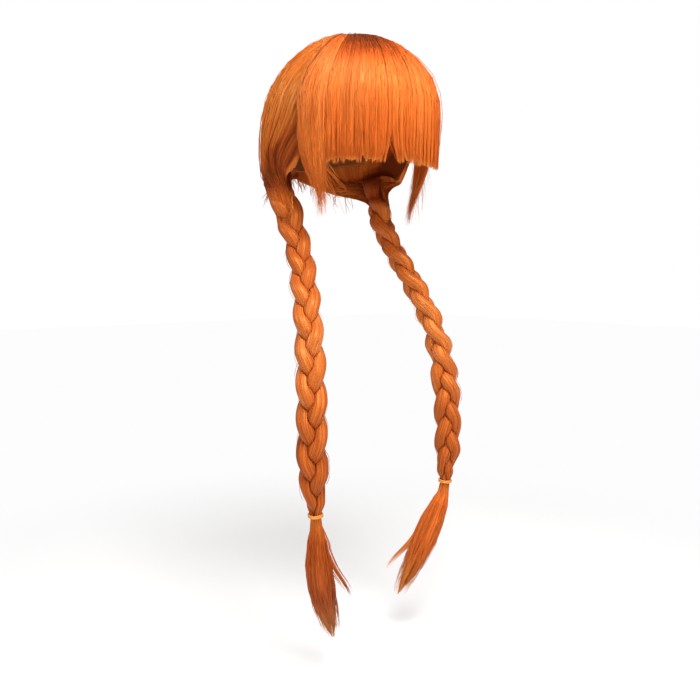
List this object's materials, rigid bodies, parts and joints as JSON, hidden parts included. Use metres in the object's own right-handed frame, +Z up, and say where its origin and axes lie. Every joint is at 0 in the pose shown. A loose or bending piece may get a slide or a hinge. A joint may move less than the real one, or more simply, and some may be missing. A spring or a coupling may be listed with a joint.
{
  "type": "costume wig",
  "caption": "Long wig with a blunt fringe, face-framing side locks and hair swept back into low plaits with tied tails, on a knitted cap that is open below for a head.",
  "frame": {"origin": "inside the cap at the crown, where the top of a head meets it", "axes": "+Z up from the head's crown, -Y the way the wearer faces, -X the wearer's right"},
  "size_m": [0.245, 0.2228, 0.6825],
  "materials": {
    "hair": "satin synthetic fibre",
    "net": "knitted net",
    "elastic": "matt elastic thread"
  },
  "bodies": {
    "root": {"wig_cap": "net", "fringe": "hair", "side_lock_right": "hair", "swept_hair_right": "hair", "plait_right_strand_1": "hair", "plait_right_strand_2": "hair", "plait_right_strand_3": "hair", "tail_right": "hair", "side_lock_left": "hair", "swept_hair_left": "hair", "plait_left_strand_1": "hair", "plait_left_strand_2": "hair", "plait_left_strand_3": "hair", "tail_left": "hair", "tie_right": "elastic", "tie_left": "elastic"}
  },
  "joints": []
}
